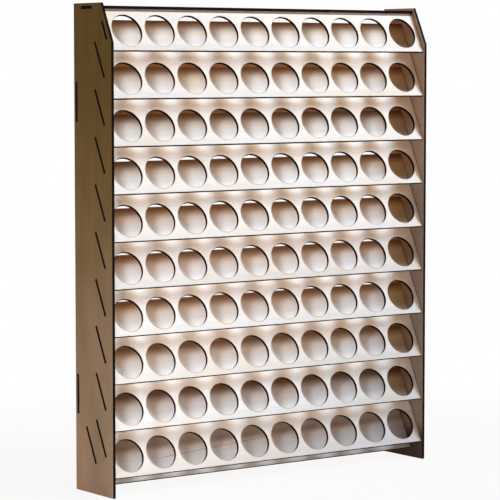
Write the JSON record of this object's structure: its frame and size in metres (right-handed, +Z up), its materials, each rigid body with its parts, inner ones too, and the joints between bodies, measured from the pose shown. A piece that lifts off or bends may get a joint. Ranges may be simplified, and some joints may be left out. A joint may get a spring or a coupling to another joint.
{
  "type": "hobby workstation organizer",
  "caption": "Louvred plywood rack: leaning plates with rows of round holes between two side panels hold paint pots at an angle.",
  "frame": {"origin": "on the standing surface, midway between the side panels and midway from front to back", "axes": "+X to the right seen from the front, +Y to the rear, +Z up"},
  "size_m": [0.412, 0.07, 0.5],
  "materials": {
    "birch_plywood": "bare sanded birch plywood with laser-scorched edges"
  },
  "bodies": {
    "root": {"left_side": "birch_plywood", "right_side": "birch_plywood", "top_board": "birch_plywood", "hole_plate_01": "birch_plywood", "hole_plate_02": "birch_plywood", "hole_plate_03": "birch_plywood", "hole_plate_04": "birch_plywood", "hole_plate_05": "birch_plywood", "hole_plate_06": "birch_plywood", "hole_plate_07": "birch_plywood", "hole_plate_08": "birch_plywood", "hole_plate_09": "birch_plywood", "hole_plate_10": "birch_plywood", "rest_plate": "birch_plywood", "upper_rail": "birch_plywood", "lower_rail": "birch_plywood"}
  },
  "joints": []
}
